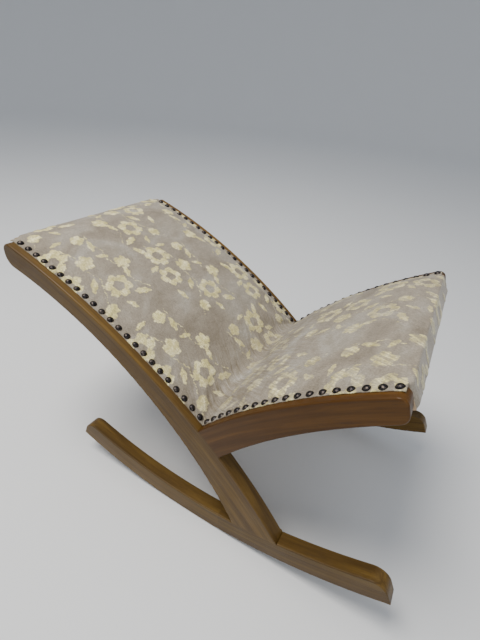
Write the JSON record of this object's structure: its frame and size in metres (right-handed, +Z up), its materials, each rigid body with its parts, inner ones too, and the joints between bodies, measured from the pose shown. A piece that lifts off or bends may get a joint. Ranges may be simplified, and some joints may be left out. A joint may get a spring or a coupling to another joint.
{
  "type": "rocking footstool",
  "caption": "Low wooden footstool on curved rockers with a V-shaped, velvet-covered padded rest nailed along its side frames.",
  "frame": {"origin": "centre of the bounding box in plan, at floor level under the rockers", "axes": "+X from the long rest towards the short front arm, +Y across the stool to its left side, +Z up"},
  "size_m": [0.6374, 0.342, 0.3784],
  "materials": {
    "walnut": "semi-gloss brown lacquer on walnut",
    "rail_wood": "planed, unfinished beech",
    "dowel_wood": "turned, unfinished beech",
    "webbing": "woven jute strap",
    "hessian": "coarse woven jute",
    "stuffing": "fibre wadding",
    "velvet": "taupe velvet with a raised cream floral pattern",
    "nail_brass": "dark antiqued dome heads",
    "tack_steel": "blued steel, flat heads"
  },
  "bodies": {
    "root": {"long_rail_left": "walnut", "long_rail_right": "walnut", "short_arm_left": "walnut", "short_arm_right": "walnut", "rocker_left": "walnut", "rocker_right": "walnut", "top_rail": "rail_wood", "front_rail": "rail_wood", "crotch_rail": "rail_wood", "arm_dowels_left": "dowel_wood", "arm_dowels_right": "dowel_wood", "foot_dowels_left": "dowel_wood", "foot_dowels_right": "dowel_wood", "top_rail_dowels": "dowel_wood", "front_rail_dowels": "dowel_wood", "crotch_rail_dowels": "dowel_wood", "webbing_long": "webbing", "webbing_short": "webbing", "hessian_long": "hessian", "hessian_short": "hessian", "stuffing_long": "stuffing", "stuffing_short": "stuffing", "seat_cover": "velvet", "rail_nails_left": "nail_brass", "rail_nails_right": "nail_brass", "arm_nails_left": "nail_brass", "arm_nails_right": "nail_brass", "cover_tacks_top": "tack_steel", "cover_tacks_front": "tack_steel"}
  },
  "joints": []
}
